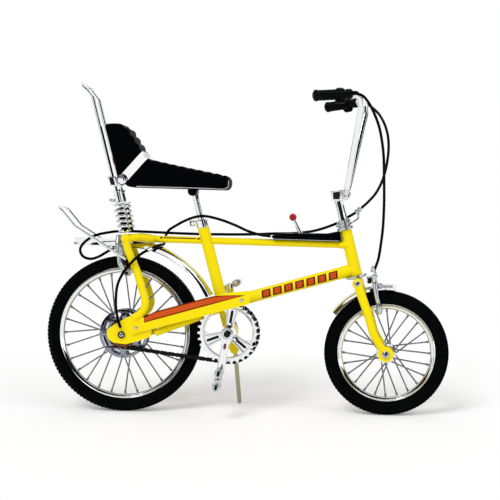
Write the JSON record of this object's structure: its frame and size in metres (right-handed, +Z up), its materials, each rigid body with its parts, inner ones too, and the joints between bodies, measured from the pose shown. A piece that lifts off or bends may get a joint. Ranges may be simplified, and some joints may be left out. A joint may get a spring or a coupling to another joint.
{
  "type": "scale model bicycle",
  "caption": "Scale model of a chopper bicycle with high handlebars, a long sprung seat with a back hoop, and a smaller front wheel, leaning on its side stand.",
  "frame": {"origin": "bottom centre of the bounding box, on the floor the model stands on", "axes": "+X from the rear wheel to the front wheel, +Y to the model's left, which is the side it leans to, +Z up"},
  "size_m": [0.1102, 0.0499, 0.0902],
  "materials": {
    "yellow_enamel": "gloss yellow enamel on die-cast zinc",
    "chrome_plate": "bright chrome plating",
    "grey_steel": "dull grey-green rod",
    "black_rubber": "matte black rubber",
    "black_plastic": "satin black moulding",
    "red_plastic": "glossy red moulding"
  },
  "bodies": {
    "frame": {"head_tube": "yellow_enamel", "top_tube": "yellow_enamel", "down_tube": "yellow_enamel", "rear_top_tube": "yellow_enamel", "seat_tube": "yellow_enamel", "seat_stay_left": "yellow_enamel", "seat_stay_right": "yellow_enamel", "chain_stay_left": "yellow_enamel", "chain_stay_right": "yellow_enamel", "stay_bridge": "yellow_enamel", "headset_upper": "chrome_plate", "headset_lower": "chrome_plate", "rear_mudguard": "chrome_plate", "rear_brake": "chrome_plate", "rear_rack": "chrome_plate", "saddle": "black_plastic", "seat_post": "chrome_plate", "seat_lug": "black_plastic", "seat_clamp": "chrome_plate", "sissy_bar": "chrome_plate", "spring_left": "chrome_plate", "spring_right": "chrome_plate", "hoop_clamp_left": "chrome_plate", "hoop_clamp_right": "chrome_plate", "reflector": "red_plastic", "gear_console": "black_plastic", "gear_lever": "red_plastic", "rear_brake_cable": "black_rubber", "gear_cable": "black_rubber", "chain": "black_plastic", "chain_guard": "yellow_enamel", "stand_bracket": "yellow_enamel"},
    "steering": {"fork": "yellow_enamel", "stem": "chrome_plate", "handlebar": "chrome_plate", "grip_left": "black_rubber", "grip_right": "black_rubber", "brake_lever_left": "black_plastic", "brake_lever_right": "black_plastic", "front_mudguard": "chrome_plate", "front_brake": "chrome_plate", "front_brake_cable": "black_rubber", "steered_cable": "black_rubber"},
    "front_wheel": {"front_wheel": "chrome_plate", "front_tyre": "black_rubber"},
    "rear_wheel": {"rear_wheel": "chrome_plate", "rear_tyre": "black_rubber"},
    "crank": {"crank": "chrome_plate"},
    "pedal_left": {"pedal_left": "chrome_plate"},
    "pedal_right": {"pedal_right": "chrome_plate"},
    "side_stand": {"side_stand": "grey_steel"}
  },
  "joints": [
    {"name": "steering", "type": "hinge", "parent": "frame", "child": "steering", "pos_m": [0.0269, -0.00287, 0.05001], "axis": [-0.2385, 0.0846, 0.9674], "range_deg": [-57, 63], "deforming": ["steered_cable"]},
    {"name": "front_wheel_spin", "type": "hinge", "parent": "steering", "child": "front_wheel", "pos_m": [0.0382, -0.00594, 0.01685], "axis": [0.0508, 0.9959, -0.0746], "continuous": true},
    {"name": "rear_wheel_spin", "type": "hinge", "parent": "frame", "child": "rear_wheel", "pos_m": [-0.0337, -0.00538, 0.02132], "axis": [0, 0.9962, -0.0872], "continuous": true},
    {"name": "crank_spin", "type": "hinge", "parent": "frame", "child": "crank", "pos_m": [-0.0046, -0.00532, 0.02202], "axis": [0, 0.9962, -0.0872], "continuous": true},
    {"name": "pedal_left_spin", "type": "hinge", "parent": "crank", "child": "pedal_left", "pos_m": [-0.00544, 0.00767, 0.0329], "axis": [0, 0.9962, -0.0872], "continuous": true},
    {"name": "pedal_right_spin", "type": "hinge", "parent": "crank", "child": "pedal_right", "pos_m": [-0.00668, -0.01831, 0.01129], "axis": [0, 0.9962, -0.0872], "continuous": true},
    {"name": "side_stand_fold", "type": "hinge", "parent": "frame", "child": "side_stand", "pos_m": [-0.0034, -0.00258, 0.01666], "axis": [0, 0.9323, 0.3618], "range_deg": [0, 85]}
  ]
}
